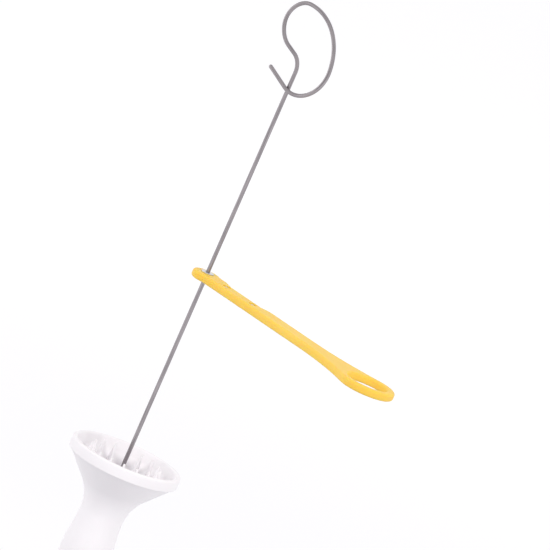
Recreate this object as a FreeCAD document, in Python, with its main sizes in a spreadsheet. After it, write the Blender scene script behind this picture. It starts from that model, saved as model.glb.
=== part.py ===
"""Tornado potato cutter: a toothed cup on a hollow grip, a looped skewer and a sliding knife.

The frame has its origin at the centre of the grip's open end, +Z along the skewer towards
the finger loop and +X along the knife. Lengths are in millimetres.
"""
import FreeCAD, Part
import Sketcher
import math
import os
import re

os.makedirs("parts", exist_ok=True)
doc = FreeCAD.newDocument("tornado_potato_cutter")
sheet = doc.addObject("Spreadsheet::Sheet", "Sizes")

# Driving sizes. A name always holds an underscore, so that formulas can be told from functions.
driving_sizes = (
    ("holder_length", 100, "grip end to rim"),
    ("rim_radius", 28, "outside of the rim band"),
    ("rim_band", 5.6, "height of the band round the mouth"),
    ("band_step", 0.8, "how far the band stands off the flare"),
    ("rim_lip", 2.6, "width of the flat on top of the rim"),
    ("rim_round", 1.0, "rounding of the rim's two edges"),
    ("band_round", 0.4, "rounding under the band"),
    ("flare_radius", 22, "bend from the neck into the flare"),
    ("flare_angle", 45, "slope of the flare against the axis, in degrees"),
    ("neck_radius", 11, "narrowest part of the outside"),
    ("neck_drop", 10, "cup floor down to the neck"),
    ("grip_radius", 12.5, "outside of the grip"),
    ("taper_length", 20, "neck down to the straight part of the grip"),
    ("grip_round", 0.4, "rounding of the grip's open end"),
    ("wall_thickness", 2.2, "cup and grip wall"),
    ("cup_depth", 22, "rim to the cup floor"),
    ("floor_thickness", 2.5, "web under the cup"),
    ("floor_round", 1.5, "rounding between cup floor and flare"),
    ("core_shrink", 1.6, "draft of the hollow grip over its length"),
    ("tooth_count", 16, "teeth in the cup"),
    ("tooth_radius", 17.6, "middle of a tooth's tip"),
    ("tooth_tip", 0.8, "width of a tooth's tip"),
    ("tooth_root", 5.4, "width of a tooth at the wall"),
    ("tooth_thickness", 1.6, "thickness of a tooth"),
    ("tooth_drop", 0.3, "tips below the rim"),
    ("tooth_sink", 1.0, "how deep a tooth runs into the wall"),
    ("boss_radius", 4, "boss round the skewer's socket"),
    ("boss_height", 3, "boss above the cup floor"),
    ("socket_depth", 15, "boss top to the socket's floor"),
    ("socket_entry", 0.8, "lead-in of the socket"),
    ("tube_radius", 3.2, "socket tube under the cup floor"),
    ("tube_end", 2.5, "closed end of the socket tube"),
    ("rib_count", 4, "ribs between the tube and the wall"),
    ("rib_thickness", 1.6, "thickness of a rib"),
    ("rib_length", 20, "ribs below the cup floor"),
    ("wire_radius", 1.0, "skewer wire"),
    ("running_gap", 0.08, "play of a part that slides or turns on another"),
    ("point_length", 6, "ground point of the skewer"),
    ("point_radius", 0.15, "blunted tip of the point"),
    ("crossing_height", 194.4, "rim to the place where the loop's tail crosses the shank"),
    ("shank_rise", 8.4, "straight wire above the crossing"),
    ("first_bend_radius", 7.9, "bend out of the shank"),
    ("first_bend_angle", 71.5, "degrees"),
    ("shoulder_length", 6.1, "straight wire after the first bend"),
    ("corner_bend_radius", 15.2, "loop's upper corner"),
    ("corner_bend_angle", 47.2, "degrees"),
    ("top_bend_radius", 9.9, "loop's tight top"),
    ("top_bend_angle", 111.8, "degrees"),
    ("side_bend_radius", 29.8, "loop's long side"),
    ("side_bend_angle", 79.5, "degrees"),
    ("bottom_bend_radius", 14.5, "loop's bottom"),
    ("bottom_bend_angle", 122.7, "degrees"),
    ("tail_length", 14.6, "straight end of the wire"),
    ("tail_gap", 0.4, "air between the tail and the shank"),
    ("knife_height", 93.4, "rim to the underside of the knife"),
    ("knife_thickness", 4, "knife's plastic"),
    ("knife_edge_round", 1.3, "rounding of the knife's edges"),
    ("hub_radius", 7, "knife's eye"),
    ("bar_width", 11.5, "knife's bar"),
    ("ring_distance", 121.5, "eye to the middle of the finger ring"),
    ("ring_radius", 14, "outside of the finger ring"),
    ("finger_radius", 10, "hole for the finger"),
    ("ring_blend", 110, "sweep from the bar into the ring"),
    ("ramp_start", 7.5, "thinned leading side, nearest the eye"),
    ("ramp_end", 45, "thinned leading side, nearest the ring"),
    ("ramp_width", 3.6, "thinned leading side, across the bar"),
    ("ramp_edge", 2.2, "plastic left at the leading side"),
    ("blade_start", 6, "blade's end nearest the eye"),
    ("blade_length", 40, "blade along the bar"),
    ("blade_width", 12, "blade across the bar"),
    ("blade_back", 3, "blade's back edge behind the middle of the bar"),
    ("blade_thickness", 0.6, "strip steel"),
    ("blade_bevel", 2.5, "width of the ground edge"),
    ("blade_edge", 0.12, "steel left at the cutting edge"),
    ("blade_corner", 1.2, "rounding of the blade's leading corners"),
    ("rivet_inset", 10, "first rivet from the blade's end"),
    ("rivet_pitch", 20, "rivet to rivet"),
    ("rivet_back", 1, "rivets behind the middle of the bar"),
    ("rivet_radius", 1.1, "rivet shank"),
    ("rivet_gap", 0.05, "play round a rivet's shank"),
    ("rivet_head_radius", 1.8, "round head"),
    ("rivet_head_height", 0.9, "round head"),
    ("rivet_cone_radius", 1.6, "countersunk head"),
    ("rivet_recess_radius", 2.1, "recess over the round head"),
    ("rivet_recess_depth", 1.1, "recess over the round head"),
    ("eyelet_wall", 0.72, "wall of the knife's eyelet"),
    ("eyelet_flange_radius", 3.2, "flanges of the eyelet"),
    ("eyelet_flange", 0.5, "thickness of a flange"),
)

# Sizes that follow from the ones above.
derived_sizes = (
    ("band_bottom", "holder_length - rim_band"),
    ("cup_floor", "holder_length - cup_depth"),
    ("neck_height", "cup_floor - neck_drop"),
    ("grip_height", "neck_height - taper_length"),
    ("flare_top_radius", "rim_radius - band_step"),
    ("flare_foot_radius", "neck_radius + flare_radius * (1 - cos(flare_angle))"),
    ("flare_foot_height", "neck_height + flare_radius * sin(flare_angle)"),
    ("cup_bend", "flare_radius + wall_thickness"),
    ("cup_top_radius", "flare_top_radius - wall_thickness / cos(flare_angle)"),
    ("cup_foot_radius", "neck_radius + flare_radius - cup_bend * cos(flare_angle)"),
    ("cup_foot_height", "neck_height + cup_bend * sin(flare_angle)"),
    ("floor_radius", "neck_radius + flare_radius - sqrt(cup_bend ^ 2 - (cup_floor - neck_height) ^ 2)"),
    ("web_bottom", "cup_floor - floor_thickness"),
    ("taper_drop", "(grip_radius - neck_radius) / 2"),
    ("taper_rise", "(neck_height - grip_height) / 2"),
    ("taper_bend", "(taper_rise ^ 2 + taper_drop ^ 2) / (2 * taper_drop)"),
    ("core_radius", "grip_radius - wall_thickness"),
    ("core_top_radius", "core_radius - core_shrink"),
    ("boss_top", "cup_floor + boss_height"),
    ("socket_radius", "wire_radius + running_gap"),
    ("socket_floor", "boss_top - socket_depth"),
    ("tooth_inner", "tooth_radius - tooth_root / 2"),
    ("tooth_outer", "tooth_radius + tooth_root / 2"),
    ("wall_slope", "1 / tan(flare_angle)"),
    ("tooth_inner_height", "band_bottom - (cup_top_radius - tooth_inner) * wall_slope - tooth_sink"),
    ("tooth_outer_height", "band_bottom - (cup_top_radius - tooth_outer) * wall_slope - tooth_sink"),
    ("tooth_top", "holder_length - tooth_drop"),
    ("loop_crossing", "holder_length + crossing_height"),
    ("knife_bottom", "holder_length + knife_height"),
    ("knife_top", "knife_bottom + knife_thickness"),
    ("half_bar", "bar_width / 2"),
    ("hub_join", "sqrt(hub_radius ^ 2 - half_bar ^ 2)"),
    ("blend_reach", "sqrt((ring_radius + ring_blend) ^ 2 - (half_bar + ring_blend) ^ 2)"),
    ("blend_share", "ring_radius / (ring_radius + ring_blend)"),
    ("blend_start", "ring_distance - blend_reach"),
    ("blend_end", "ring_distance - blend_reach * blend_share"),
    ("blend_half_width", "(half_bar + ring_blend) * blend_share"),
    ("ring_end", "ring_distance + ring_radius"),
    ("ramp_inner", "half_bar - ramp_width"),
    ("blade_end", "blade_start + blade_length"),
    ("blade_front", "blade_width - blade_back"),
    ("first_rivet", "blade_start + rivet_inset"),
    ("rivet_hole", "rivet_radius + rivet_gap"),
    ("rivet_seat", "knife_top - rivet_recess_depth"),
    ("rivet_cone_height", "rivet_cone_radius - rivet_radius"),
    ("eyelet_bore", "wire_radius + running_gap"),
    ("eyelet_radius", "eyelet_bore + eyelet_wall"),
    ("hub_bore", "eyelet_radius + running_gap"),
    ("eyelet_bottom", "knife_bottom - eyelet_flange"),
    ("eyelet_top", "knife_top + eyelet_flange"),
)

row = 1
for alias, size, note in driving_sizes:
    sheet.set("A%d" % row, note)
    sheet.set("B%d" % row, str(size))
    sheet.setAlias("B%d" % row, alias)
    row += 1
for alias, formula in derived_sizes:
    sheet.set("A%d" % row, alias.replace("_", " "))
    sheet.set("B%d" % row, "=" + formula)
    sheet.setAlias("B%d" % row, alias)
    row += 1
trial_cell = "D1"
doc.recompute()


def number(formula):
    """Value of a formula written with the sheet's names."""
    sheet.set(trial_cell, "=" + formula)
    sheet.recompute()
    return float(sheet.get(trial_cell))


def drive(target, path, formula):
    """Bind a property of a feature to a formula written with the sheet's names."""
    reading = re.sub(r"[a-z]+(?:_[a-z]+)+", lambda word: "Sizes." + word.group(), formula)
    target.setExpression(path, reading)


def new_body(label):
    """Body for one separate piece."""
    body = doc.addObject("PartDesign::Body", label)
    body.Label = label
    return body


def origin_item(body, role):
    """Plane or axis of a body's own origin."""
    return [item for item in body.Origin.OriginFeatures if item.Role == role][0]


def new_sketch(body, label, plane, lift="0"):
    """Sketch on one of the body's origin planes, raised along the plane's normal."""
    sketch = body.newObject("Sketcher::SketchObject", label)
    sketch.AttachmentSupport = [(origin_item(body, plane), "")]
    sketch.MapMode = "FlatFace"
    sketch.AttachmentOffset.Base.z = 0
    drive(sketch, "AttachmentOffset.Base.z", lift)
    return sketch


def pin_point(sketch, edge, end, across, along):
    """Hold one point of a sketch at a driven place."""
    for kind, formula in (("DistanceX", across), ("DistanceY", along)):
        index = sketch.addConstraint(Sketcher.Constraint(kind, -1, 1, edge, end, number(formula)))
        drive(sketch, "Constraints[%d]" % index, formula)


def add_path(sketch, corners):
    """Closed path of lines and arcs.

    A corner is (across, along), or (across, along, turn, radius) where the edge that leaves it
    is an arc: turn is +1 where the path bends to the left and -1 where it bends to the right.
    """
    places = [FreeCAD.Vector(number(corner[0]), number(corner[1]), 0) for corner in corners]
    edges = []
    for step, corner in enumerate(corners):
        start = places[step]
        finish = places[(step + 1) % len(corners)]
        if len(corner) == 2:
            edge = sketch.addGeometry(Part.LineSegment(start, finish))
            edges.append((edge, 1, 2))
            continue
        turn = corner[2]
        radius = number(corner[3])
        chord = finish - start
        left = FreeCAD.Vector(-chord.y, chord.x, 0).normalize()
        reach = math.sqrt(max(radius ** 2 - chord.Length ** 2 / 4, 0))
        centre = (start + finish) * 0.5 + left * (turn * reach)
        first, last = (start, finish) if turn > 0 else (finish, start)
        begin = math.atan2(first.y - centre.y, first.x - centre.x)
        end = math.atan2(last.y - centre.y, last.x - centre.x)
        if end < begin:
            end += 2 * math.pi
        circle = Part.Circle(centre, FreeCAD.Vector(0, 0, 1), radius)
        edge = sketch.addGeometry(Part.ArcOfCircle(circle, begin, end))
        edges.append((edge, 1, 2) if turn > 0 else (edge, 2, 1))
    for step, (edge, start_end, finish_end) in enumerate(edges):
        following = edges[(step + 1) % len(edges)]
        sketch.addConstraint(Sketcher.Constraint("Coincident", edge, finish_end, following[0], following[1]))
    for step, corner in enumerate(corners):
        edge, start_end, finish_end = edges[step]
        pin_point(sketch, edge, start_end, corner[0], corner[1])
        if len(corner) > 2:
            index = sketch.addConstraint(Sketcher.Constraint("Radius", edge, number(corner[3])))
            drive(sketch, "Constraints[%d]" % index, corner[3])


def add_circle(sketch, across, along, radius):
    """Full circle with a driven centre and radius."""
    centre = FreeCAD.Vector(number(across), number(along), 0)
    edge = sketch.addGeometry(Part.Circle(centre, FreeCAD.Vector(0, 0, 1), number(radius)))
    pin_point(sketch, edge, 3, across, along)
    index = sketch.addConstraint(Sketcher.Constraint("Radius", edge, number(radius)))
    drive(sketch, "Constraints[%d]" % index, radius)


def turn_profile(body, label, corners):
    """Solid of revolution about Z from a path in the XZ plane."""
    sketch = new_sketch(body, label + "_profile", "XZ_Plane")
    add_path(sketch, corners)
    feature = body.newObject("PartDesign::Revolution", label)
    feature.Profile = sketch
    feature.ReferenceAxis = (origin_item(body, "Z_Axis"), [""])
    feature.Angle = 360
    doc.recompute()
    return feature


def extrude(body, kind, label, sketch, length):
    """Pad or pocket with a driven length."""
    feature = body.newObject(kind, label)
    feature.Profile = sketch
    drive(feature, "Length", length)
    return feature


def round_edges(body, label, base, names, radius):
    """Fillet on named edges of a feature."""
    feature = body.newObject("PartDesign::Fillet", label)
    feature.Base = (base, names)
    feature.Radius = number(radius)
    drive(feature, "Radius", radius)
    doc.recompute()
    return feature


def circle_edges(feature, radius, height):
    """Names of a feature's circular edges round Z at a radius and height."""
    names = []
    for index, edge in enumerate(feature.Shape.Edges, 1):
        if not isinstance(edge.Curve, Part.Circle):
            continue
        centre = edge.Curve.Center
        off_axis = math.hypot(centre.x, centre.y)
        radius_error = abs(edge.Curve.Radius - number(radius))
        height_error = abs(centre.z - number(height))
        if max(off_axis, radius_error, height_error) < 0.001:
            names.append("Edge%d" % index)
    return names


def level_edges(feature, heights):
    """Names of a feature's edges that lie flat at one of the heights."""
    names = []
    for index, edge in enumerate(feature.Shape.Edges, 1):
        box = edge.BoundBox
        for height in heights:
            if max(abs(box.ZMin - number(height)), abs(box.ZMax - number(height))) < 0.001:
                names.append("Edge%d" % index)
    return names


# Potato holder: one moulding with a flared cup, a banded rim and a hollow grip.
holder = new_body("potato_holder")
holder_shell = turn_profile(holder, "holder_shell", (
    ("core_radius", "0"),
    ("grip_radius", "0"),
    ("grip_radius", "grip_height", 1, "taper_bend"),
    ("grip_radius - taper_drop", "grip_height + taper_rise", -1, "taper_bend"),
    ("neck_radius", "neck_height", -1, "flare_radius"),
    ("flare_foot_radius", "flare_foot_height"),
    ("flare_top_radius", "band_bottom"),
    ("rim_radius", "band_bottom"),
    ("rim_radius", "holder_length"),
    ("rim_radius - rim_lip", "holder_length"),
    ("cup_top_radius", "band_bottom"),
    ("cup_foot_radius", "cup_foot_height", 1, "cup_bend"),
    ("floor_radius", "cup_floor"),
    ("boss_radius", "cup_floor"),
    ("boss_radius", "boss_top"),
    ("socket_radius + socket_entry", "boss_top"),
    ("socket_radius", "boss_top - socket_entry"),
    ("socket_radius", "socket_floor"),
    ("0", "socket_floor"),
    ("0", "socket_floor - tube_end"),
    ("tube_radius", "socket_floor - tube_end"),
    ("tube_radius", "web_bottom"),
    ("core_top_radius", "web_bottom"),
))
rim_edges = circle_edges(holder_shell, "rim_radius", "holder_length")
rim_edges += circle_edges(holder_shell, "rim_radius - rim_lip", "holder_length")
holder_rim = round_edges(holder, "rim_rounding", holder_shell, rim_edges, "rim_round")
band_edges = circle_edges(holder_rim, "rim_radius", "band_bottom")
holder_band = round_edges(holder, "band_rounding", holder_rim, band_edges, "band_round")
grip_edges = circle_edges(holder_band, "grip_radius", "0")
grip_edges += circle_edges(holder_band, "core_radius", "0")
holder_end = round_edges(holder, "grip_rounding", holder_band, grip_edges, "grip_round")
floor_edges = circle_edges(holder_end, "floor_radius", "cup_floor")
holder_floor = round_edges(holder, "floor_rounding", holder_end, floor_edges, "floor_round")

# Teeth: slender fins that stand on the cup's slope and reach nearly to the rim.
tooth_sketch = new_sketch(holder, "tooth_profile", "XZ_Plane")
add_path(tooth_sketch, (
    ("tooth_inner", "tooth_inner_height"),
    ("tooth_outer", "tooth_outer_height"),
    ("tooth_radius + tooth_tip / 2", "tooth_top"),
    ("tooth_radius - tooth_tip / 2", "tooth_top"),
))
tooth = extrude(holder, "PartDesign::Pad", "tooth", tooth_sketch, "tooth_thickness")
tooth.SideType = "Symmetric"
doc.recompute()
teeth = holder.newObject("PartDesign::PolarPattern", "teeth")
teeth.Originals = [tooth]
teeth.Axis = (origin_item(holder, "Z_Axis"), [""])
teeth.Angle = 360
drive(teeth, "Occurrences", "tooth_count")
holder.Tip = teeth
doc.recompute()

# Ribs: webs that carry the socket tube inside the grip.
rib_sketch = new_sketch(holder, "rib_profile", "XZ_Plane")
add_path(rib_sketch, (
    ("tube_radius - rib_thickness / 2", "web_bottom - rib_length"),
    ("core_top_radius + wall_thickness / 2", "web_bottom - rib_length"),
    ("core_top_radius + wall_thickness / 2", "web_bottom + floor_thickness / 2"),
    ("tube_radius - rib_thickness / 2", "web_bottom + floor_thickness / 2"),
))
rib = extrude(holder, "PartDesign::Pad", "rib", rib_sketch, "rib_thickness")
rib.SideType = "Symmetric"
doc.recompute()
ribs = holder.newObject("PartDesign::PolarPattern", "ribs")
ribs.Originals = [rib]
ribs.Axis = (origin_item(holder, "Z_Axis"), [""])
ribs.Angle = 360
drive(ribs, "Occurrences", "rib_count")
holder.Tip = ribs
doc.recompute()

# Skewer: one wire, bent step by step from the shank into the finger loop. The loop leans
# about its first straight, so that the tail passes in front of the shank.
wire_radius = number("wire_radius")
shank_foot = number("socket_floor + point_length")
crossing = number("loop_crossing")
up = FreeCAD.Vector(0, 0, 1)
front = FreeCAD.Vector(0, -1, 0)


def bend(place, heading, axis, radius, degrees):
    """Arc of wire from a place and heading; gives the arc, its end and the new heading."""
    centre = place + axis.cross(heading) * radius
    spoke = place - centre
    middle = centre + FreeCAD.Rotation(axis, degrees / 2).multVec(spoke)
    end = centre + FreeCAD.Rotation(axis, degrees).multVec(spoke)
    return Part.Arc(place, middle, end).toShape(), end, FreeCAD.Rotation(axis, degrees).multVec(heading)


shank_end = FreeCAD.Vector(0, 0, crossing + number("shank_rise"))
spine_edges = [Part.LineSegment(FreeCAD.Vector(0, 0, shank_foot), shank_end).toShape()]
arc, place, heading = bend(shank_end, up, front, number("first_bend_radius"), number("first_bend_angle"))
spine_edges.append(arc)
to_crossing = FreeCAD.Vector(0, 0, crossing) - place
arm_of_lean = to_crossing.cross(heading).Length
lean = math.degrees(math.asin(number("2 * wire_radius + tail_gap") / arm_of_lean))
loop_axis = FreeCAD.Rotation(heading, lean).multVec(front * -1)
shoulder_end = place + heading * number("shoulder_length")
spine_edges.append(Part.LineSegment(place, shoulder_end).toShape())
place = shoulder_end
for name in ("corner", "top", "side", "bottom"):
    radius = number(name + "_bend_radius")
    angle = number(name + "_bend_angle")
    arc, place, heading = bend(place, heading, loop_axis, radius, angle)
    spine_edges.append(arc)
tail_end = place + heading * number("tail_length")
spine_edges.append(Part.LineSegment(place, tail_end).toShape())

spine = doc.addObject("Part::Feature", "skewer_spine")
spine.Shape = Part.Wire(spine_edges)
section = doc.addObject("Part::Circle", "wire_section")
drive(section, "Radius", "wire_radius")
drive(section, "Placement.Base.z", "socket_floor + point_length")
wire = doc.addObject("Part::Sweep", "skewer_wire")
wire.Sections = [section]
wire.Spine = (spine, [])
wire.Solid = True
wire.Frenet = False
point = doc.addObject("Part::Cone", "skewer_point")
drive(point, "Radius1", "point_radius")
drive(point, "Radius2", "wire_radius")
drive(point, "Height", "point_length")
drive(point, "Placement.Base.z", "socket_floor")
tail_dome = doc.addObject("Part::Sphere", "tail_dome")
drive(tail_dome, "Radius", "wire_radius")
tail_dome.Angle1 = 0
tail_dome.Placement = FreeCAD.Placement(tail_end, FreeCAD.Rotation(up, heading))
skewer = doc.addObject("Part::MultiFuse", "skewer")
skewer.Label = "skewer"
skewer.Shapes = [wire, point, tail_dome]
skewer.Refine = True
doc.recompute()

# Knife body: a flat eye, a bar and a finger ring in one moulding.
knife = new_body("knife_body")
knife_sketch = new_sketch(knife, "knife_outline", "XY_Plane", "knife_bottom")
add_path(knife_sketch, (
    ("hub_join", "-half_bar"),
    ("blend_start", "-half_bar", -1, "ring_blend"),
    ("blend_end", "-blend_half_width", 1, "ring_radius"),
    ("ring_end", "0", 1, "ring_radius"),
    ("blend_end", "blend_half_width", -1, "ring_blend"),
    ("blend_start", "half_bar"),
    ("hub_join", "half_bar", 1, "hub_radius"),
    ("-hub_radius", "0", 1, "hub_radius"),
))
knife_plate = extrude(knife, "PartDesign::Pad", "knife_plate", knife_sketch, "knife_thickness")
doc.recompute()
ring_sketch = new_sketch(knife, "finger_hole_outline", "XY_Plane", "knife_top")
add_circle(ring_sketch, "ring_distance", "0", "finger_radius")
finger_hole = extrude(knife, "PartDesign::Pocket", "finger_hole", ring_sketch, "knife_thickness")
doc.recompute()
plate_edges = level_edges(finger_hole, ("knife_bottom", "knife_top"))
knife_rounded = round_edges(knife, "knife_rounding", finger_hole, plate_edges, "knife_edge_round")

# Thinned leading side, blade recess and the holes for eyelet and rivets.
ramp_sketch = new_sketch(knife, "ramp_outline", "YZ_Plane", "ramp_start")
add_path(ramp_sketch, (
    ("ramp_inner", "knife_top"),
    ("half_bar", "knife_bottom + blade_thickness + ramp_edge"),
    ("half_bar + ramp_edge", "knife_bottom + blade_thickness + ramp_edge"),
    ("half_bar + ramp_edge", "knife_top + ramp_edge"),
    ("ramp_inner", "knife_top + ramp_edge"),
))
ramp = extrude(knife, "PartDesign::Pocket", "ramp", ramp_sketch, "ramp_end - ramp_start")
ramp.Reversed = True
recess_sketch = new_sketch(knife, "recess_outline", "XY_Plane", "knife_bottom")
add_path(recess_sketch, (
    ("blade_start", "-blade_back"),
    ("blade_end", "-blade_back"),
    ("blade_end", "half_bar + ramp_edge"),
    ("blade_start", "half_bar + ramp_edge"),
))
recess = extrude(knife, "PartDesign::Pocket", "blade_recess", recess_sketch, "blade_thickness")
recess.Reversed = True
bore_sketch = new_sketch(knife, "hub_bore_outline", "XY_Plane", "knife_top")
add_circle(bore_sketch, "0", "0", "hub_bore")
bore = extrude(knife, "PartDesign::Pocket", "hub_bore_cut", bore_sketch, "knife_thickness")
doc.recompute()
rivet_sketch = new_sketch(knife, "rivet_hole_centres", "XY_Plane", "knife_top")
add_circle(rivet_sketch, "first_rivet", "-rivet_back", "rivet_hole")
add_circle(rivet_sketch, "first_rivet + rivet_pitch", "-rivet_back", "rivet_hole")
rivet_holes = knife.newObject("PartDesign::Hole", "rivet_holes")
rivet_holes.Profile = rivet_sketch
rivet_holes.DepthType = "ThroughAll"
rivet_holes.HoleCutType = "Counterbore"
rivet_holes.HoleCutCustomValues = True
drive(rivet_holes, "Diameter", "2 * rivet_hole")
drive(rivet_holes, "HoleCutDiameter", "2 * rivet_recess_radius")
drive(rivet_holes, "HoleCutDepth", "rivet_recess_depth")
doc.recompute()

# Blade: strip steel with a ground edge, flush under the bar and proud of its leading side.
blade = new_body("blade")
blade_sketch = new_sketch(blade, "blade_outline", "XY_Plane", "knife_bottom")
add_path(blade_sketch, (
    ("blade_start", "-blade_back"),
    ("blade_end", "-blade_back"),
    ("blade_end", "blade_front - blade_corner", 1, "blade_corner"),
    ("blade_end - blade_corner", "blade_front"),
    ("blade_start + blade_corner", "blade_front", 1, "blade_corner"),
    ("blade_start", "blade_front - blade_corner"),
))
blade_strip = extrude(blade, "PartDesign::Pad", "blade_strip", blade_sketch, "blade_thickness")
doc.recompute()
bevel_sketch = new_sketch(blade, "bevel_outline", "YZ_Plane")
add_path(bevel_sketch, (
    ("blade_front - blade_bevel", "knife_bottom + blade_thickness"),
    ("blade_front + blade_edge", "knife_bottom + blade_edge"),
    ("blade_front + blade_edge", "knife_bottom + blade_thickness"),
))
bevel = extrude(blade, "PartDesign::Pocket", "bevel", bevel_sketch, "blade_end + blade_corner")
bevel.Reversed = True
doc.recompute()
blade_holes_sketch = new_sketch(blade, "blade_hole_centres", "XY_Plane", "knife_bottom")
add_circle(blade_holes_sketch, "first_rivet", "-rivet_back", "rivet_hole")
add_circle(blade_holes_sketch, "first_rivet + rivet_pitch", "-rivet_back", "rivet_hole")
blade_holes = blade.newObject("PartDesign::Hole", "blade_holes")
blade_holes.Profile = blade_holes_sketch
blade_holes.Reversed = True
blade_holes.DepthType = "ThroughAll"
blade_holes.HoleCutType = "Countersink"
blade_holes.HoleCutCustomValues = True
blade_holes.HoleCutCountersinkAngle = 90
drive(blade_holes, "Diameter", "2 * rivet_hole")
drive(blade_holes, "HoleCutDiameter", "2 * rivet_cone_radius")
doc.recompute()

# Blade rivets: countersunk in the blade and domed in the bar's recesses.
rivets = new_body("blade_rivets")
rivets.AllowCompound = True
rivet_profile = new_sketch(rivets, "rivet_profile", "XZ_Plane", "rivet_back")
dome_bend = "(rivet_head_radius ^ 2 + rivet_head_height ^ 2) / (2 * rivet_head_height)"
add_path(rivet_profile, (
    ("first_rivet", "knife_bottom"),
    ("first_rivet + rivet_cone_radius", "knife_bottom"),
    ("first_rivet + rivet_radius", "knife_bottom + rivet_cone_height"),
    ("first_rivet + rivet_radius", "rivet_seat"),
    ("first_rivet + rivet_head_radius", "rivet_seat", 1, dome_bend),
    ("first_rivet", "rivet_seat + rivet_head_height"),
))
rivet = rivets.newObject("PartDesign::Revolution", "rivet")
rivet.Profile = rivet_profile
rivet.ReferenceAxis = (rivet_profile, ["Edge6"])
rivet.Angle = 360
doc.recompute()
rivet_row = rivets.newObject("PartDesign::LinearPattern", "rivet_row")
rivet_row.Originals = [rivet]
rivet_row.Direction = (origin_item(rivets, "X_Axis"), [""])
rivet_row.Occurrences = 2
drive(rivet_row, "Length", "rivet_pitch")
rivets.Tip = rivet_row
doc.recompute()

# Hub eyelet: flanged steel bush that lines the knife's eye and runs on the wire.
eyelet = new_body("hub_eyelet")
turn_profile(eyelet, "eyelet_turning", (
    ("eyelet_bore", "eyelet_bottom"),
    ("eyelet_flange_radius", "eyelet_bottom"),
    ("eyelet_flange_radius", "knife_bottom"),
    ("eyelet_radius", "knife_bottom"),
    ("eyelet_radius", "knife_top"),
    ("eyelet_flange_radius", "knife_top"),
    ("eyelet_flange_radius", "eyelet_top"),
    ("eyelet_bore", "eyelet_top"),
))

# Nothing is written unless every feature came out sound.
sheet.clear(trial_cell)
doc.recompute()
for item in doc.Objects:
    if "Invalid" in item.State or "Error" in item.State:
        raise RuntimeError("%s failed: %s" % (item.Label, item.State))
    if hasattr(item, "Shape") and item.TypeId.startswith("Part"):
        if item.Shape.isNull() or not item.Shape.isValid():
            raise RuntimeError("%s has no sound shape" % item.Label)

for node in (holder, skewer, eyelet, knife, blade, rivets):
    node.Shape.exportStep("parts/%s.step" % node.Label)
    box = node.Shape.BoundBox
    print("%-14s solids %d  volume %9.2f  x %.2f %.2f  y %.2f %.2f  z %.2f %.2f" % (
        node.Label, len(node.Shape.Solids), node.Shape.Volume,
        box.XMin, box.XMax, box.YMin, box.YMax, box.ZMin, box.ZMax))
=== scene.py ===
"""Looks of the tornado potato cutter: cup on a hollow grip, looped skewer and sliding knife.

Sizes are in millimetres and angles in degrees. The floor, the lamps and the camera's place are in
metres, and so are the places that a texture reads.
"""
import math

import bmesh
import bpy
from mathutils import Matrix, Vector


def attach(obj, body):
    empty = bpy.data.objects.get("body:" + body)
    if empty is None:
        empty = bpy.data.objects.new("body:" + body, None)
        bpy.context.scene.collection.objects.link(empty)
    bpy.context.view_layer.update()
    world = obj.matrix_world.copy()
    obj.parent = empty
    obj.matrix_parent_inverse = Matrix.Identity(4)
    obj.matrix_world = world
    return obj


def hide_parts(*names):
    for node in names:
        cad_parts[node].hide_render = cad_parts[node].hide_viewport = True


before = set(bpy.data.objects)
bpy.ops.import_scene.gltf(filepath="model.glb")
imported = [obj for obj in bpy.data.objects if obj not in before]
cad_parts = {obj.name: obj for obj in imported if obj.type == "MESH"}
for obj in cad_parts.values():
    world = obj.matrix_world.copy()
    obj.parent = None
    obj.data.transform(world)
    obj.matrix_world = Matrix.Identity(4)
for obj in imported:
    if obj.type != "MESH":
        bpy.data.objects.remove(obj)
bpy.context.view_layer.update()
mm = 0.001

# Potato holder. One hollow moulding in white glossy plastic: a flared cup with a banded rim,
# sixteen slender teeth that hold the potato's end, a socket on four ribs for the skewer, and
# a round grip that is open below.
up = Vector((0, 0, 1))
front = Vector((0, -1, 0))


def line_to(mesh, point, place):
    """Straight edge from a drawn line's last point to a place; gives the new point."""
    fresh = bmesh.ops.extrude_vert_indiv(mesh, verts=[point])["verts"][0]
    fresh.co = Vector(place) * mm
    return fresh


def arc_to(mesh, point, centre, axis, degrees, steps):
    """Arc from a drawn line's last point round a centre; gives the new point."""
    turned = bmesh.ops.spin(mesh, geom=[point], cent=Vector(centre) * mm, axis=axis,
                            angle=math.radians(degrees), steps=steps)
    return [item for item in turned["geom_last"] if isinstance(item, bmesh.types.BMVert)][0]


def round_corners(mesh, corners, reach, steps=6):
    """Round corners of a drawn line, each cut back by the same reach along both sides."""
    bmesh.ops.bevel(mesh, geom=corners, offset=reach * mm, affect="VERTICES", segments=steps,
                    profile=0.5, material=-1)


def turn_round(mesh, steps, centre=(0, 0, 0)):
    """Turn a drawn line once round the vertical through a centre, and close its poles."""
    bmesh.ops.spin(mesh, geom=mesh.verts[:] + mesh.edges[:], cent=Vector(centre) * mm, axis=up,
                   angle=math.tau, steps=steps, use_merge=True)
    bmesh.ops.remove_doubles(mesh, verts=mesh.verts[:], dist=0.002 * mm)


def raise_face(mesh, face, shift):
    """Raise a flat face into a solid by a shift."""
    grown = bmesh.ops.extrude_face_region(mesh, geom=face)["geom"]
    points = [item for item in grown if isinstance(item, bmesh.types.BMVert)]
    bmesh.ops.translate(mesh, verts=points, vec=Vector(shift) * mm)


def upright_plate(corners, thickness):
    """Upright plate that points away from the middle, from the radius and height of each corner."""
    mesh = bmesh.new()
    first = mesh.verts.new(Vector((corners[0][0], -thickness / 2, corners[0][1])) * mm)
    point = first
    for radius, height in corners[1:]:
        point = line_to(mesh, point, (radius, -thickness / 2, height))
    mesh.edges.new((point, first))
    side = bmesh.ops.contextual_create(mesh, geom=mesh.edges[:])["faces"]
    raise_face(mesh, side, (0, thickness, 0))
    return mesh


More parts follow.
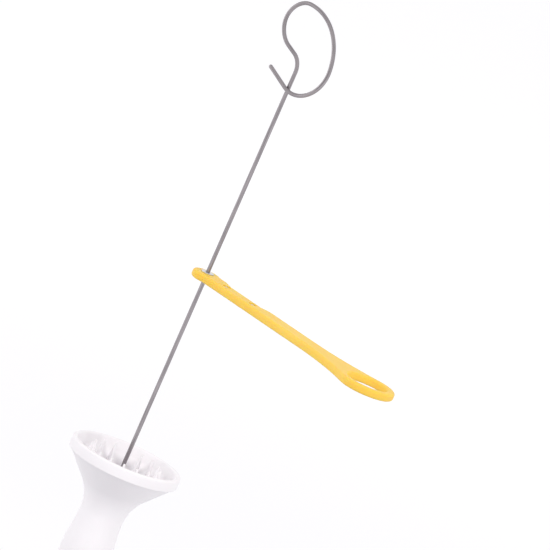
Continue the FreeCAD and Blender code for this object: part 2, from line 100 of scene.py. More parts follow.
def soften(mesh, edges, reach, steps):
    """Round edges of a solid."""
    bmesh.ops.bevel(mesh, geom=edges, offset=reach * mm, affect="EDGES", segments=steps, profile=0.5,
                    material=-1)


def repeat_round(mesh, count):
    """Repeat a mesh evenly round the vertical."""
    bmesh.ops.spin(mesh, geom=mesh.verts[:] + mesh.edges[:] + mesh.faces[:], cent=(0, 0, 0), axis=up,
                   angle=math.tau * (count - 1) / count, steps=count - 1, use_duplicate=True)


def join_mesh(mesh, part):
    """Add one mesh to another."""
    data = bpy.data.meshes.new("part")
    part.to_mesh(data)
    part.free()
    mesh.from_mesh(data)
    bpy.data.meshes.remove(data)


def shade_smoothly(data, sharp):
    """Shade a mesh smooth, but for edges that turn by more than an angle."""
    data.shade_smooth()
    data.set_sharp_from_angle(angle=math.radians(sharp))


def new_piece(name, mesh):
    """Object from a finished mesh, smooth but for its real edges."""
    bmesh.ops.recalc_face_normals(mesh, faces=mesh.faces[:])
    data = bpy.data.meshes.new(name)
    mesh.to_mesh(data)
    mesh.free()
    shade_smoothly(data, sharp=34)
    piece = bpy.data.objects.new(name, data)
    bpy.context.scene.collection.objects.link(piece)
    return piece


holder_length = 100.0
rim_radius = 28.0
rim_band = 5.6
band_step = 0.8
rim_lip = 2.6
flare_radius = 22.0
flare_angle = 45.0
neck_radius = 11.0
neck_drop = 10.0
grip_radius = 12.5
taper_length = 20.0
wall_thickness = 2.2
cup_depth = 22.0
floor_thickness = 2.5
core_shrink = 1.6
boss_radius = 4.0
boss_height = 3.0
wire_radius = 1.0
running_gap = 0.08
socket_depth = 15.0
socket_entry = 0.8
tube_radius = 3.2
tube_end = 2.5

cup_floor = holder_length - cup_depth
neck_height = cup_floor - neck_drop
grip_height = neck_height - taper_length
band_bottom = holder_length - rim_band
taper_turn = 2 * math.degrees(math.atan((grip_radius - neck_radius) / taper_length))
taper_bend = taper_length / 2 / math.sin(math.radians(taper_turn))
flare_centre = (neck_radius + flare_radius, 0, neck_height)
cup_bend = flare_radius + wall_thickness
cup_top_radius = rim_radius - band_step - wall_thickness / math.cos(math.radians(flare_angle))
cup_foot_radius = neck_radius + flare_radius - cup_bend * math.cos(math.radians(flare_angle))
cup_foot_height = neck_height + cup_bend * math.sin(math.radians(flare_angle))
cup_foot_turn = flare_angle - math.degrees(math.asin(neck_drop / cup_bend))
boss_top = cup_floor + boss_height
socket_radius = wire_radius + running_gap
socket_floor = boss_top - socket_depth
web_bottom = cup_floor - floor_thickness
core_radius = grip_radius - wall_thickness
core_top_radius = core_radius - core_shrink

turned = bmesh.new()
start = turned.verts.new(Vector((core_radius, 0, 0)) * mm)
grip_edge = line_to(turned, start, (grip_radius, 0, 0))
point = line_to(turned, grip_edge, (grip_radius, 0, grip_height))
point = arc_to(turned, point, (grip_radius - taper_bend, 0, grip_height), front, taper_turn, steps=6)
point = arc_to(turned, point, (neck_radius + taper_bend, 0, neck_height), front, -taper_turn, steps=6)
point = arc_to(turned, point, flare_centre, front, -flare_angle, steps=20)
under_band = line_to(turned, point, (rim_radius - band_step, 0, band_bottom))
band_edge = line_to(turned, under_band, (rim_radius, 0, band_bottom))
rim_edge = line_to(turned, band_edge, (rim_radius, 0, holder_length))
lip_edge = line_to(turned, rim_edge, (rim_radius - rim_lip, 0, holder_length))
lip_foot = line_to(turned, lip_edge, (cup_top_radius, 0, band_bottom))
point = line_to(turned, lip_foot, (cup_foot_radius, 0, cup_foot_height))
cup_corner = arc_to(turned, point, flare_centre, front, cup_foot_turn, steps=12)
boss_foot = line_to(turned, cup_corner, (boss_radius, 0, cup_floor))
boss_edge = line_to(turned, boss_foot, (boss_radius, 0, boss_top))
lead_edge = line_to(turned, boss_edge, (socket_radius + socket_entry, 0, boss_top))
point = line_to(turned, lead_edge, (socket_radius, 0, boss_top - socket_entry))
point = line_to(turned, point, (socket_radius, 0, socket_floor))
line_to(turned, point, (0, 0, socket_floor))
pole = turned.verts.new(Vector((0, 0, socket_floor - tube_end)) * mm)
tube_edge = line_to(turned, pole, (tube_radius, 0, socket_floor - tube_end))
tube_foot = line_to(turned, tube_edge, (tube_radius, 0, web_bottom))
core_corner = line_to(turned, tube_foot, (core_top_radius, 0, web_bottom))
turned.edges.new((core_corner, start))
round_corners(turned, [rim_edge], reach=1.0, steps=8)
round_corners(turned, [lip_edge], reach=0.79, steps=8)
round_corners(turned, [grip_edge, start, band_edge], reach=0.4)
round_corners(turned, [cup_corner], reach=0.6)
round_corners(turned, [lip_foot, core_corner, tube_foot, boss_foot], reach=0.8)
round_corners(turned, [boss_edge, tube_edge], reach=0.35)
round_corners(turned, [under_band], reach=0.25)
round_corners(turned, [lead_edge], reach=0.3)
turn_round(turned, steps=144)

tooth_count = 16
tooth_radius = 17.6
tooth_tip = 0.8
tooth_root = 5.4
tooth_thickness = 1.6
tooth_narrowing = 0.62
tooth_sink = 1.0
tooth_drop = 0.3
tooth_top = holder_length - tooth_drop
tooth_inner = tooth_radius - tooth_root / 2
tooth_outer = tooth_radius + tooth_root / 2
wall_slope = 1 / math.tan(math.radians(flare_angle))
tooth_inner_height = band_bottom - (cup_top_radius - tooth_inner) * wall_slope - tooth_sink
tooth_outer_height = band_bottom - (cup_top_radius - tooth_outer) * wall_slope - tooth_sink
tooth = upright_plate((
    (tooth_inner, tooth_inner_height),
    (tooth_outer, tooth_outer_height),
    (tooth_radius + tooth_tip / 2, tooth_top),
    (tooth_radius - tooth_tip / 2, tooth_top),
), tooth_thickness)
tips = [vert for vert in tooth.verts if vert.co.z > band_bottom * mm]
bmesh.ops.scale(tooth, vec=(1, tooth_narrowing, 1), verts=tips)
soften(tooth, tooth.edges[:], reach=0.22, steps=3)
repeat_round(tooth, tooth_count)
join_mesh(turned, tooth)

rib_count = 4
rib_thickness = 1.6
rib_length = 20.0
rib_inner = tube_radius - rib_thickness / 2
rib_outer = core_top_radius + wall_thickness / 2
rib_top = web_bottom + floor_thickness / 2
rib = upright_plate((
    (rib_inner, web_bottom - rib_length),
    (rib_outer, web_bottom - rib_length),
    (rib_outer, rib_top),
    (rib_inner, rib_top),
), rib_thickness)
soften(rib, rib.edges[:], reach=0.25, steps=3)
repeat_round(rib, rib_count)
join_mesh(turned, rib)
holder = new_piece("holder_moulding", turned)


def spread_roughness(nodes, links, inputs, outputs, noise):
    """Let a noise swing a group's Roughness by its Spread to both sides."""
    swing = nodes.new("ShaderNodeMath")
    swing.operation = "SUBTRACT"
    swing.inputs[1].default_value = 0.5
    links.new(noise, swing.inputs[0])
    spread = nodes.new("ShaderNodeMath")
    spread.operation = "MULTIPLY_ADD"
    links.new(swing.outputs[0], spread.inputs[0])
    links.new(inputs.outputs["Spread"], spread.inputs[1])
    links.new(inputs.outputs["Roughness"], spread.inputs[2])
    links.new(spread.outputs[0], outputs.inputs["Roughness"])


def moulded_surface():
    """Node group: the fine unevenness of a moulded surface, as a roughness mask and a height."""
    group = bpy.data.node_groups.new("moulded surface", "ShaderNodeTree")
    face = group.interface
    usual = (("Ripple density", 60.0), ("Grain density", 2600.0), ("Roughness", 0.3), ("Spread", 0.1))
    for name, value in usual:
        socket = face.new_socket(name, in_out="INPUT", socket_type="NodeSocketFloat")
        socket.default_value = value
    face.new_socket("Roughness", in_out="OUTPUT", socket_type="NodeSocketFloat")
    face.new_socket("Height", in_out="OUTPUT", socket_type="NodeSocketFloat")
    nodes, links = group.nodes, group.links
    inputs = nodes.new("NodeGroupInput")
    outputs = nodes.new("NodeGroupOutput")
    place = nodes.new("ShaderNodeTexCoord")
    ripple = nodes.new("ShaderNodeTexNoise")
    ripple.inputs["Detail"].default_value = 2.0
    grain = nodes.new("ShaderNodeTexNoise")
    grain.inputs["Detail"].default_value = 3.0
    scuff = nodes.new("ShaderNodeTexNoise")
    scuff.inputs["Scale"].default_value = 210.0
    scuff.inputs["Detail"].default_value = 6.0
    scuff.inputs["Roughness"].default_value = 0.65
    links.new(inputs.outputs["Ripple density"], ripple.inputs["Scale"])
    links.new(inputs.outputs["Grain density"], grain.inputs["Scale"])
    for texture in (ripple, grain, scuff):
        links.new(place.outputs["Object"], texture.inputs["Vector"])
    spread_roughness(nodes, links, inputs, outputs, scuff.outputs["Fac"])
    fine = nodes.new("ShaderNodeMath")
    fine.operation = "MULTIPLY_ADD"
    fine.inputs[1].default_value = 0.12
    links.new(grain.outputs["Fac"], fine.inputs[0])
    links.new(ripple.outputs["Fac"], fine.inputs[2])
    links.new(fine.outputs[0], outputs.inputs["Height"])
    return group


moulded = moulded_surface()


def new_material(name):
    """Material with a Principled shader, ready for its nodes."""
    material = bpy.data.materials.new(name)
    material.use_nodes = True
    tree = material.node_tree
    return material, tree.nodes, tree.links, tree.nodes["Principled BSDF"]


def moulded_skin(nodes, links, shader, ripple, grain, roughness, spread):
    """Give a plastic its moulded surface; gives the surface's height."""
    surface = nodes.new("ShaderNodeGroup")
    surface.node_tree = moulded
    surface.inputs["Ripple density"].default_value = ripple
    surface.inputs["Grain density"].default_value = grain
    surface.inputs["Roughness"].default_value = roughness
    surface.inputs["Spread"].default_value = spread
    links.new(surface.outputs["Roughness"], shader.inputs["Roughness"])
    return surface.outputs["Height"]


def add_bump(nodes, links, shader, height, strength, distance):
    """Raise a material's surface by a height."""
    bump = nodes.new("ShaderNodeBump")
    bump.inputs["Strength"].default_value = strength
    bump.inputs["Distance"].default_value = distance * mm
    links.new(height, bump.inputs["Height"])
    links.new(bump.outputs["Normal"], shader.inputs["Normal"])


def dress(piece, material):
    """Give a piece one material."""
    piece.data.materials.clear()
    piece.data.materials.append(material)


white_plastic, nodes, links, shader = new_material("white moulded plastic")
shader.inputs["Subsurface Weight"].default_value = 0.15
shader.inputs["Subsurface Radius"].default_value = (1.0, 0.9, 0.95)
shader.inputs["Subsurface Scale"].default_value = 1.2 * mm
shader.inputs["IOR"].default_value = 1.49
height = moulded_skin(nodes, links, shader, ripple=70.0, grain=3200.0, roughness=0.32, spread=0.08)
place = nodes.new("ShaderNodeTexCoord")
split = nodes.new("ShaderNodeSeparateXYZ")
links.new(place.outputs["Object"], split.inputs[0])
seam_side = nodes.new("ShaderNodeMath")
seam_side.operation = "ABSOLUTE"
links.new(split.outputs["Y"], seam_side.inputs[0])
seam = nodes.new("ShaderNodeMapRange")
seam.inputs["From Min"].default_value = 0.02 * mm
seam.inputs["From Max"].default_value = 0.16 * mm
seam.inputs["To Min"].default_value = 1.0
seam.inputs["To Max"].default_value = 0.0
links.new(seam_side.outputs[0], seam.inputs["Value"])
relief = nodes.new("ShaderNodeMath")
relief.operation = "MULTIPLY_ADD"
relief.inputs[1].default_value = 0.5
links.new(seam.outputs[0], relief.inputs[0])
links.new(height, relief.inputs[2])
add_bump(nodes, links, shader, relief.outputs[0], strength=0.12, distance=0.12)
tint = nodes.new("ShaderNodeTexNoise")
tint.inputs["Scale"].default_value = 26.0
links.new(place.outputs["Object"], tint.inputs["Vector"])
shade = nodes.new("ShaderNodeValToRGB")
shade.color_ramp.elements[0].color = (0.88, 0.858, 0.882, 1)
shade.color_ramp.elements[1].color = (0.93, 0.908, 0.93, 1)
links.new(tint.outputs["Fac"], shade.inputs["Fac"])
links.new(shade.outputs["Color"], shader.inputs["Base Color"])
dress(holder, white_plastic)
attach(holder, "holder")
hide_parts("potato_holder")

# Skewer. Two millimetre stainless wire, drawn and polished, ground to a point below and bent
# step by step into a kidney-shaped finger loop above. It stands loose in the cup's socket.
point_radius = 0.15
point_length = 6.0
point_swelling = ((0.35, 0.27), (2.0, 0.55), (4.0, 0.83), (5.4, 0.98), (point_length, wire_radius))
crossing_height = 194.4
shank_rise = 8.4
loop_crossing = holder_length + crossing_height
shank_end = loop_crossing + shank_rise
first_bend = (7.9, 71.5)
shoulder = 6.1
loop_bends = ((15.2, 47.2), (9.9, 111.8), (29.8, 79.5), (14.5, 122.7))
tail = 14.6
tail_gap = 0.4
tail_clearance = 2 * wire_radius + tail_gap
dome_steps = 6
dome_step = math.radians(14)
wire = bmesh.new()
wire_place = wire.verts.layers.float_vector.new("wire_place")


def grow_ring(mesh, ring):
    """Grow a strip of skin from a ring of edges; gives the new ring and its points, still in place."""
    grown = bmesh.ops.extrude_edge_only(mesh, edges=ring)["geom"]
    points = [item for item in grown if isinstance(item, bmesh.types.BMVert)]
    edges = [item for item in grown if isinstance(item, bmesh.types.BMEdge)]
    found = set(points)
    return [edge for edge in edges if found.issuperset(edge.verts)], points


def scale_ring(mesh, ring, place, factor):
    """Widen or narrow a ring of edges about its place."""
    points = list({point for edge in ring for point in edge.verts})
    centred = Matrix.Translation(-place * mm)
    bmesh.ops.scale(mesh, vec=Vector((1, 1, 1)) * factor, space=centred, verts=points)


def next_ring(mesh, ring, along):
    """Grow a ring of the wire's skin, marked with the length of wire so far."""
    fresh, points = grow_ring(mesh, ring)
    for point in points:
        point[wire_place].z = along * mm
    return fresh, points


def run_straight(mesh, ring, place, heading, along, length, steps):
    """Straight wire; gives the last ring, its place and the length of wire so far."""
    for step in range(steps):
        along += length / steps
        ring, points = next_ring(mesh, ring, along)
        bmesh.ops.translate(mesh, verts=points, vec=heading * length / steps * mm)
    return ring, place + heading * length, along


def run_bend(mesh, ring, place, heading, along, axis, radius, degrees):
    """Bent wire; gives the last ring, its place and heading, and the length of wire so far."""
    steps = max(4, round(degrees / 3))
    centre = place + axis.cross(heading) * radius
    turn = Matrix.Rotation(math.radians(degrees) / steps, 3, axis)
    for step in range(steps):
        along += radius * math.radians(degrees) / steps
        ring, points = next_ring(mesh, ring, along)
        bmesh.ops.rotate(mesh, cent=centre * mm, matrix=turn, verts=points)
        place = centre + turn @ (place - centre)
        heading = turn @ heading
    return ring, place, heading, along


place = Vector((0, 0, socket_floor))
heading = up
along = 0.0
bmesh.ops.create_circle(wire, cap_ends=True, radius=point_radius * mm, segments=28,
                        matrix=Matrix.Translation(place * mm))
for point in wire.verts:
    point[wire_place] = Vector((point.co.x, point.co.y, 0)) * wire_radius / point_radius
ring = wire.edges[:]
last_radius = point_radius
for rise, next_radius in point_swelling:
    ring, place, along = run_straight(wire, ring, place, heading, along, rise - along, steps=1)
    scale_ring(wire, ring, place, next_radius / last_radius)
    last_radius = next_radius
ring, place, along = run_straight(wire, ring, place, heading, along, shank_end - place.z, steps=12)
ring, place, heading, along = run_bend(wire, ring, place, heading, along, front, *first_bend)
arm = (Vector((0, 0, loop_crossing)) - place).cross(heading).length
lean = math.asin(tail_clearance / arm)
loop_axis = Matrix.Rotation(lean, 3, heading) @ -front
ring, place, along = run_straight(wire, ring, place, heading, along, shoulder, steps=2)
for radius, degrees in loop_bends:
    ring, place, heading, along = run_bend(wire, ring, place, heading, along, loop_axis, radius, degrees)
ring, place, along = run_straight(wire, ring, place, heading, along, tail, steps=4)
for step in range(dome_steps):
    low, high = dome_step * step, dome_step * (step + 1)
    rise = wire_radius * (math.sin(high) - math.sin(low))
    ring, place, along = run_straight(wire, ring, place, heading, along, rise, steps=1)
    scale_ring(wire, ring, place, math.cos(high) / math.cos(low))
bmesh.ops.contextual_create(wire, geom=ring)
skewer = new_piece("skewer_wire", wire)


def drawn_steel():
    """Node group: fine lines that a die, a belt or a stone leaves on steel, as roughness and lines."""
    group = bpy.data.node_groups.new("drawn steel", "ShaderNodeTree")
    face = group.interface
    face.new_socket("Place", in_out="INPUT", socket_type="NodeSocketVector")
    stretch = face.new_socket("Line density", in_out="INPUT", socket_type="NodeSocketVector")
    stretch.default_value = (2200.0, 2200.0, 60.0)
    for name, value in (("Roughness", 0.25), ("Spread", 0.12)):
        socket = face.new_socket(name, in_out="INPUT", socket_type="NodeSocketFloat")
        socket.default_value = value
    face.new_socket("Roughness", in_out="OUTPUT", socket_type="NodeSocketFloat")
    face.new_socket("Lines", in_out="OUTPUT", socket_type="NodeSocketFloat")
    nodes, links = group.nodes, group.links
    inputs = nodes.new("NodeGroupInput")
    outputs = nodes.new("NodeGroupOutput")
    scaled = nodes.new("ShaderNodeVectorMath")
    scaled.operation = "MULTIPLY"
    links.new(inputs.outputs["Place"], scaled.inputs[0])
    links.new(inputs.outputs["Line density"], scaled.inputs[1])
    lines = nodes.new("ShaderNodeTexNoise")
    lines.inputs["Scale"].default_value = 1.0
    lines.inputs["Detail"].default_value = 5.0
    links.new(scaled.outputs[0], lines.inputs["Vector"])
    spread_roughness(nodes, links, inputs, outputs, lines.outputs["Fac"])
    links.new(lines.outputs["Fac"], outputs.inputs["Lines"])
    return group


drawn = drawn_steel()


def steel(name, dark, light, density, roughness, spread, strength, attribute=None):
    """Bare steel with fine marks, which run long where their density is low."""
    material, nodes, links, shader = new_material(name)
    shader.inputs["Metallic"].default_value = 1.0
    lines = nodes.new("ShaderNodeGroup")
    lines.node_tree = drawn
    lines.inputs["Line density"].default_value = density
    lines.inputs["Roughness"].default_value = roughness
    lines.inputs["Spread"].default_value = spread
    if attribute:
        place = nodes.new("ShaderNodeAttribute")
        place.attribute_name = attribute
        links.new(place.outputs["Vector"], lines.inputs["Place"])
    else:
        place = nodes.new("ShaderNodeTexCoord")
        links.new(place.outputs["Object"], lines.inputs["Place"])
    links.new(lines.outputs["Roughness"], shader.inputs["Roughness"])
    shade = nodes.new("ShaderNodeValToRGB")
    shade.color_ramp.elements[0].position = 0.3
    shade.color_ramp.elements[0].color = (*dark, 1)
    shade.color_ramp.elements[1].position = 0.7
    shade.color_ramp.elements[1].color = (*light, 1)
    links.new(lines.outputs["Lines"], shade.inputs["Fac"])
    links.new(shade.outputs["Color"], shader.inputs["Base Color"])
    add_bump(nodes, links, shader, lines.outputs["Lines"], strength, distance=0.02)
    return material


wire_steel = steel("drawn wire", dark=(0.22, 0.205, 0.215), light=(0.395, 0.365, 0.378),
                   density=(2400, 2400, 90), roughness=0.28, spread=0.12, strength=0.3,
                   attribute="wire_place")
dress(skewer, wire_steel)
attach(skewer, "skewer")
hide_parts("skewer")

# Hub eyelet. A small flanged bush of bright steel that lines the knife's eye and runs on the
# skewer. It is pressed from tube and its two flanges are rolled over the plastic.
knife_height = 93.4
knife_thickness = 4.0
knife_bottom = holder_length + knife_height
knife_top = knife_bottom + knife_thickness
eyelet_wall = 0.72
eyelet_bore = wire_radius + running_gap
eyelet_radius = eyelet_bore + eyelet_wall
flange_radius = 3.2
flange_thickness = 0.5
eyelet_bottom = knife_bottom - flange_thickness
eyelet_top = knife_top + flange_thickness
bush = bmesh.new()
bore_foot = bush.verts.new(Vector((eyelet_bore, 0, eyelet_bottom)) * mm)
flange_low = line_to(bush, bore_foot, (flange_radius, 0, eyelet_bottom))
flange_high = line_to(bush, flange_low, (flange_radius, 0, knife_bottom))
point = line_to(bush, flange_high, (eyelet_radius, 0, knife_bottom))
point = line_to(bush, point, (eyelet_radius, 0, knife_top))
cap_low = line_to(bush, point, (flange_radius, 0, knife_top))
cap_high = line_to(bush, cap_low, (flange_radius, 0, eyelet_top))
bore_top = line_to(bush, cap_high, (eyelet_bore, 0, eyelet_top))
bush.edges.new((bore_top, bore_foot))
round_corners(bush, [bore_foot, bore_top], reach=0.42)
round_corners(bush, [flange_low, cap_high], reach=0.3)
round_corners(bush, [flange_high, cap_low], reach=0.12, steps=3)
turn_round(bush, steps=72)
eyelet = new_piece("eyelet_bush", bush)
bright_steel = steel("bright steel", dark=(0.58, 0.58, 0.6), light=(0.7, 0.7, 0.72),
                     density=(900, 900, 900), roughness=0.26, spread=0.1, strength=0.2)
dress(eyelet, bright_steel)
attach(eyelet, "runner")
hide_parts("hub_eyelet")

# Knife body. One moulding in warm orange plastic that lets a little light through: a flat
# eye, a bar with a thinned leading side over the blade, and a finger ring.
edge_round = 1.3
hub_radius = 7.0
half_bar = 5.75
ring_distance = 121.5
ring_radius = 14.0
ring_blend = 110.0
hub_turn = 180 - math.degrees(math.asin(half_bar / hub_radius))
blend_reach = math.sqrt((ring_radius + ring_blend) ** 2 - (half_bar + ring_blend) ** 2)
blend_turn = math.degrees(math.asin(blend_reach / (ring_radius + ring_blend)))
blend_start = ring_distance - blend_reach
plate = bmesh.new()
start = plate.verts.new(Vector((-hub_radius, 0, knife_bottom)) * mm)
eye_join = arc_to(plate, start, (0, 0, knife_bottom), up, -hub_turn, steps=44)
point = line_to(plate, eye_join, (blend_start, half_bar, knife_bottom))
point = arc_to(plate, point, (blend_start, half_bar + ring_blend, knife_bottom), up, blend_turn, steps=16)
arc_to(plate, point, (ring_distance, 0, knife_bottom), up, -90 - blend_turn, steps=44)
round_corners(plate, [eye_join], reach=1.2)
bmesh.ops.mirror(plate, geom=plate.verts[:] + plate.edges[:], axis="Y", merge_dist=0.01 * mm)
bmesh.ops.remove_doubles(plate, verts=plate.verts[:], dist=0.01 * mm)
underside = bmesh.ops.contextual_create(plate, geom=plate.edges[:])["faces"]
raise_face(plate, underside, (0, 0, knife_thickness))
outline = [edge for edge in plate.edges if abs(edge.verts[0].co.z - edge.verts[1].co.z) < 0.01 * mm]
soften(plate, outline, reach=edge_round, steps=7)
knife = new_piece("knife_moulding", plate)


def cut_away(piece, *meshes):
    """Cut shapes out of a piece for good."""
    tools = []
    for mesh in meshes:
        tools.append(new_piece("cutter", mesh))
        hollow = piece.modifiers.new("hollow", "BOOLEAN")
        hollow.solver = "EXACT"
        hollow.operation = "DIFFERENCE"
        hollow.object = tools[-1]
    bpy.context.view_layer.update()
    whole = bpy.data.meshes.new_from_object(piece.evaluated_get(bpy.context.evaluated_depsgraph_get()))
    piece.modifiers.clear()
    spent = [piece.data] + [tool.data for tool in tools]
    piece.data = whole
    for tool in tools:
        bpy.data.objects.remove(tool)
    for data in spent:
        bpy.data.meshes.remove(data)
    shade_smoothly(whole, sharp=18)


def block(low, high):
    """Straight-sided block between two corners."""
    mesh = bmesh.new()
    span = Vector(high) - Vector(low)
    middle = (Vector(high) + Vector(low)) / 2
    fitted = Matrix.Translation(middle * mm) @ Matrix.Diagonal((*span, 1))
    bmesh.ops.create_cube(mesh, size=mm, matrix=fitted)
    return mesh


def drill(across, back, stops):
    """Turned cutter on an upright axis; stops are its radius and height, from one end to the other."""
    mesh = bmesh.new()
    point = mesh.verts.new(Vector((across, back, stops[0][1])) * mm)
    for radius, height in stops:
        point = line_to(mesh, point, (across + radius, back, height))
    line_to(mesh, point, (across, back, stops[-1][1]))
    turn_round(mesh, steps=64, centre=(across, back, 0))
    return mesh


# Beyond its roundings the finger hole's cutter leaves both faces of the knife by a hair, so that
# none of its faces lies in one of the knife's.
overrun = 1.0
below = knife_bottom - overrun
above = knife_top + overrun
finger_radius = 10.0
flared_radius = finger_radius + edge_round
shoulder_width = 0.1
outer_radius = flared_radius + shoulder_width
hair = 0.003
finger_hole = bmesh.new()
point = finger_hole.verts.new(Vector((ring_distance, 0, below)) * mm)
point = line_to(finger_hole, point, (ring_distance + outer_radius, 0, below))
point = line_to(finger_hole, point, (ring_distance + outer_radius, 0, knife_bottom - hair))
point = line_to(finger_hole, point, (ring_distance + flared_radius, 0, knife_bottom))
low_centre = (ring_distance + flared_radius, 0, knife_bottom + edge_round)
point = arc_to(finger_hole, point, low_centre, front, -90, steps=8)
point = line_to(finger_hole, point, (ring_distance + finger_radius, 0, knife_top - edge_round))
high_centre = (ring_distance + flared_radius, 0, knife_top - edge_round)
point = arc_to(finger_hole, point, high_centre, front, -90, steps=8)
point = line_to(finger_hole, point, (ring_distance + outer_radius, 0, knife_top + hair))
point = line_to(finger_hole, point, (ring_distance + outer_radius, 0, above))
line_to(finger_hole, point, (ring_distance, 0, above))
turn_round(finger_hole, steps=112, centre=(ring_distance, 0, 0))

# The thinned side is cut by a wedge that slides in from beside the bar, runs straight and
# slides out again, so that the thinning starts and ends softly.
blade_start = 6.0
blade_length = 40.0
blade_back = 3.0
blade_thickness = 0.6
ramp_start = 7.5
ramp_length = 37.5
ramp_width = 3.6
ramp_edge = 2.2
ramp_soft = 6.0
ramp_gap = 0.05
ramp_shift = ramp_width + ramp_gap
ramp_low = knife_bottom + blade_thickness + ramp_edge
ramp_inner = half_bar - ramp_width + ramp_shift
ramp_outer = half_bar + ramp_shift
ramp_reach = 5.8
ramp_far = ramp_outer + ramp_reach
ramp = bmesh.new()
first = ramp.verts.new(Vector((ramp_start, ramp_inner, knife_top)) * mm)
point = line_to(ramp, first, (ramp_start, ramp_outer, ramp_low))
point = line_to(ramp, point, (ramp_start, ramp_far, ramp_low))
point = line_to(ramp, point, (ramp_start, ramp_far, above))
point = line_to(ramp, point, (ramp_start, ramp_inner, above))
ramp.edges.new((point, first))
ring = ramp.edges[:]
bmesh.ops.contextual_create(ramp, geom=ring)
ramp_run = ramp_length - 2 * ramp_soft
for length, outward in ((ramp_soft, -ramp_shift), (ramp_run, 0), (ramp_soft, ramp_shift)):
    ring, points = grow_ring(ramp, ring)
    bmesh.ops.translate(ramp, verts=points, vec=(length * mm, outward * mm, 0))
bmesh.ops.contextual_create(ramp, geom=ring)
recess_reach = 1.25
recess = block((blade_start, -blade_back, below),
               (blade_start + blade_length, half_bar + recess_reach, knife_bottom + blade_thickness))
hub_bore = eyelet_radius + running_gap
eye_hole = drill(0, 0, ((hub_bore, below), (hub_bore, above)))
rivet_inset = 10.0
rivet_pitch = 20.0
rivet_back = 1.0
rivet_count = 2
rivet_radius = 1.1
rivet_gap = 0.05
rivet_hole = rivet_radius + rivet_gap
head_hole = 2.1
head_depth = 1.1
rivet_seat = knife_top - head_depth
rivet_places = [blade_start + rivet_inset + rivet_pitch * index for index in range(rivet_count)]
rivet_stops = ((rivet_hole, below), (rivet_hole, rivet_seat), (head_hole, rivet_seat), (head_hole, above))
rivet_holes = [drill(across, -rivet_back, rivet_stops) for across in rivet_places]
cut_away(knife, finger_hole, ramp, recess, eye_hole, *rivet_holes)
even_shading = knife.modifiers.new("even shading", "WEIGHTED_NORMAL")
even_shading.keep_sharp = True
orange_plastic, nodes, links, shader = new_material("orange moulded plastic")
shader.inputs["Subsurface Weight"].default_value = 0.35
shader.inputs["Subsurface Radius"].default_value = (1.0, 0.45, 0.08)
shader.inputs["Subsurface Scale"].default_value = 2.5 * mm
shader.inputs["IOR"].default_value = 1.49
shader.inputs["Specular IOR Level"].default_value = 0.35
height = moulded_skin(nodes, links, shader, ripple=90.0, grain=2800.0, roughness=0.46, spread=0.12)
add_bump(nodes, links, shader, height, strength=0.25, distance=0.12)
place = nodes.new("ShaderNodeTexCoord")
flow = nodes.new("ShaderNodeTexNoise")
flow.inputs["Scale"].default_value = 34.0
flow.inputs["Detail"].default_value = 3.0
links.new(place.outputs["Object"], flow.inputs["Vector"])
shade = nodes.new("ShaderNodeValToRGB")
shade.color_ramp.elements[0].position = 0.3
shade.color_ramp.elements[0].color = (0.885, 0.575, 0.075, 1)
shade.color_ramp.elements[1].position = 0.75
shade.color_ramp.elements[1].color = (0.905, 0.625, 0.105, 1)
links.new(flow.outputs["Fac"], shade.inputs["Fac"])
links.new(shade.outputs["Color"], shader.inputs["Base Color"])
dress(knife, orange_plastic)
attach(knife, "knife")
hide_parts("knife_body")

# Blade. Stainless strip, brushed along its length, with its leading side ground to an edge. It
# lies in the recess under the bar and keeps the frame's own shape.
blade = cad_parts["blade"]
strip_steel = steel("brushed strip", dark=(0.5, 0.5, 0.52), light=(0.64, 0.64, 0.66),
                    density=(60, 2600, 2600), roughness=0.28, spread=0.18, strength=0.3)
dress(blade, strip_steel)

# Blade rivets. Two bright steel rivets, sunk flush in the blade and domed in the bar's recesses.
# Each dome has a tiny flat on top, where the tool that closed it stood.
cone_radius = 1.6
head_radius = 1.8
head_height = 0.9
dome_radius = (head_radius ** 2 + head_height ** 2) / (2 * head_height)
dome_centre = rivet_seat + head_height - dome_radius
dome_turn = 45.2
pair = bmesh.new()
for across in rivet_places:
    rivet = bmesh.new()
    point = rivet.verts.new(Vector((across, -rivet_back, knife_bottom)) * mm)
    sunk_edge = line_to(rivet, point, (across + cone_radius, -rivet_back, knife_bottom))
    cone_top = knife_bottom + cone_radius - rivet_radius
    point = line_to(rivet, sunk_edge, (across + rivet_radius, -rivet_back, cone_top))
    point = line_to(rivet, point, (across + rivet_radius, -rivet_back, rivet_seat))
    head_edge = line_to(rivet, point, (across + head_radius, -rivet_back, rivet_seat))
    point = arc_to(rivet, head_edge, (across, -rivet_back, dome_centre), front, dome_turn, steps=8)
    line_to(rivet, point, (across, -rivet_back, point.co.z / mm))
    round_corners(rivet, [head_edge], reach=0.12, steps=3)
    round_corners(rivet, [sunk_edge], reach=0.05, steps=2)
    turn_round(rivet, steps=56, centre=(across, -rivet_back, 0))
    join_mesh(pair, rivet)
rivets = new_piece("blade_rivet_pair", pair)
dress(rivets, bright_steel)
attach(rivets, "knife")
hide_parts("blade_rivets")

# Floor and daylight: a white table top between two large soft lamps, with a weak window to the
# left. What the camera and the steel see of the floor is lifted to white, more so far off, and
# less near the object so that its shadow stays.
floor_radius = 9.0
floor_gap = 0.001
floor_mesh = bmesh.new()
bmesh.ops.create_circle(floor_mesh, cap_ends=True, radius=floor_radius, segments=96)
floor_data = bpy.data.meshes.new("table_top")
floor_mesh.to_mesh(floor_data)
floor_mesh.free()
floor = bpy.data.objects.new("table_top", floor_data)
bpy.context.scene.collection.objects.link(floor)
floor.location.z = -floor_gap


